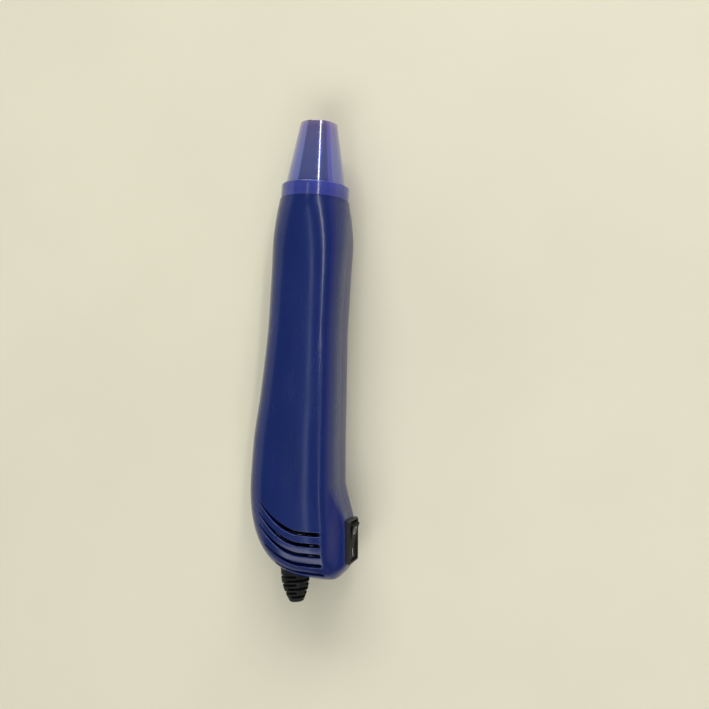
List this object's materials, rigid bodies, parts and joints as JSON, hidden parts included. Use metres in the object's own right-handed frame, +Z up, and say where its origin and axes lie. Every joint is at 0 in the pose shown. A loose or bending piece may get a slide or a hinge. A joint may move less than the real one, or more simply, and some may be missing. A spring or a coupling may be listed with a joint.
{
  "type": "embossing heat tool",
  "caption": "Hand-held embossing heat tool: waisted casing with coned hot-air nose, side rocker switch, swept air slots, ribbed cord entry and fold-out wire stand.",
  "frame": {"origin": "on the surface the tool lies on, under the middle of its bounding box", "axes": "+Y from the cord end to the hot-air outlet, +X to the side with the rocker switch, +Z up out of the front casing half, with the tool lying on its flat back"},
  "size_m": [0.0537, 0.2366, 0.0374],
  "materials": {
    "casing_plastic": "glossy cobalt blue moulded plastic",
    "collar_plastic": "glossy violet blue plastic band",
    "cone_coating": "glossy metallic blue violet coat",
    "steel_tube": "drawn stainless tube, lightly heat tinted",
    "mica": "pressed mica sheet",
    "resistance_wire": "oxidised resistance wire",
    "brass_parts": "stamped brass",
    "plated_metal": "zinc plated steel",
    "ceramic_white": "ceramic fuse body",
    "inner_black_plastic": "black heat resistant plastic",
    "motor_plastic": "natural nylon",
    "magnet_ferrite": "ferrite magnet",
    "bronze": "sintered bronze",
    "brush_carbon": "carbon brush",
    "shaft_steel": "ground steel",
    "core_steel": "laminated steel",
    "copper_wire": "enamelled copper",
    "board_green": "green circuit board",
    "component_black": "moulded component body",
    "lead_insulation": "silicone insulated lead",
    "switch_black": "black moulded switch frame",
    "rocker_black": "black rocker with plain white on and off marks",
    "relief_rubber": "black ribbed flexible sleeve",
    "screw_zinc": "zinc plated screw",
    "stand_chrome": "chromed wire"
  },
  "bodies": {
    "casing": {"front_shell": "casing_plastic", "back_shell": "casing_plastic", "nose_collar": "collar_plastic", "nozzle_cone": "cone_coating", "heater_tube": "steel_tube", "heater_flange": "steel_tube", "mica_sleeve": "mica", "mica_plate_long": "mica", "mica_plate_cross": "mica", "heating_coil": "resistance_wire", "heater_terminals": "brass_parts", "thermal_cutout": "plated_metal", "thermal_fuse": "ceramic_white", "fan_duct": "inner_black_plastic", "motor_can": "plated_metal", "motor_end_cap": "motor_plastic", "motor_magnets": "magnet_ferrite", "motor_bushes": "bronze", "motor_brushes": "brush_carbon", "motor_mount": "inner_black_plastic", "rectifier_board": "board_green", "rectifier_diodes": "component_black", "lead_wires": "lead_insulation", "switch_body": "switch_black", "switch_terminals": "brass_parts", "strain_relief": "relief_rubber", "cord_clamp": "inner_black_plastic", "clamp_screws": "screw_zinc", "case_screws": "screw_zinc", "stand_bushes": "bronze"},
    "rotor": {"motor_shaft": "shaft_steel", "armature": "core_steel", "armature_windings": "copper_wire", "commutator": "copper_wire", "impeller": "inner_black_plastic"},
    "rocker": {"switch_rocker": "rocker_black"},
    "stand": {"wire_stand": "stand_chrome"}
  },
  "joints": [
    {"name": "fan_spin", "type": "hinge", "parent": "casing", "child": "rotor", "pos_m": [-0.00425, -0.0357, 0.0182], "axis": [0, 1, 0], "continuous": true},
    {"name": "rocker_switch", "type": "hinge", "parent": "casing", "child": "rocker", "pos_m": [0.02205, -0.0854, 0.0182], "axis": [0, 0, 1], "range_deg": [0, 12]},
    {"name": "stand_swing", "type": "hinge", "parent": "casing", "child": "stand", "pos_m": [-0.00425, 0.0643, 0.0059], "axis": [1, 0, 0], "range_deg": [0, 105]}
  ]
}
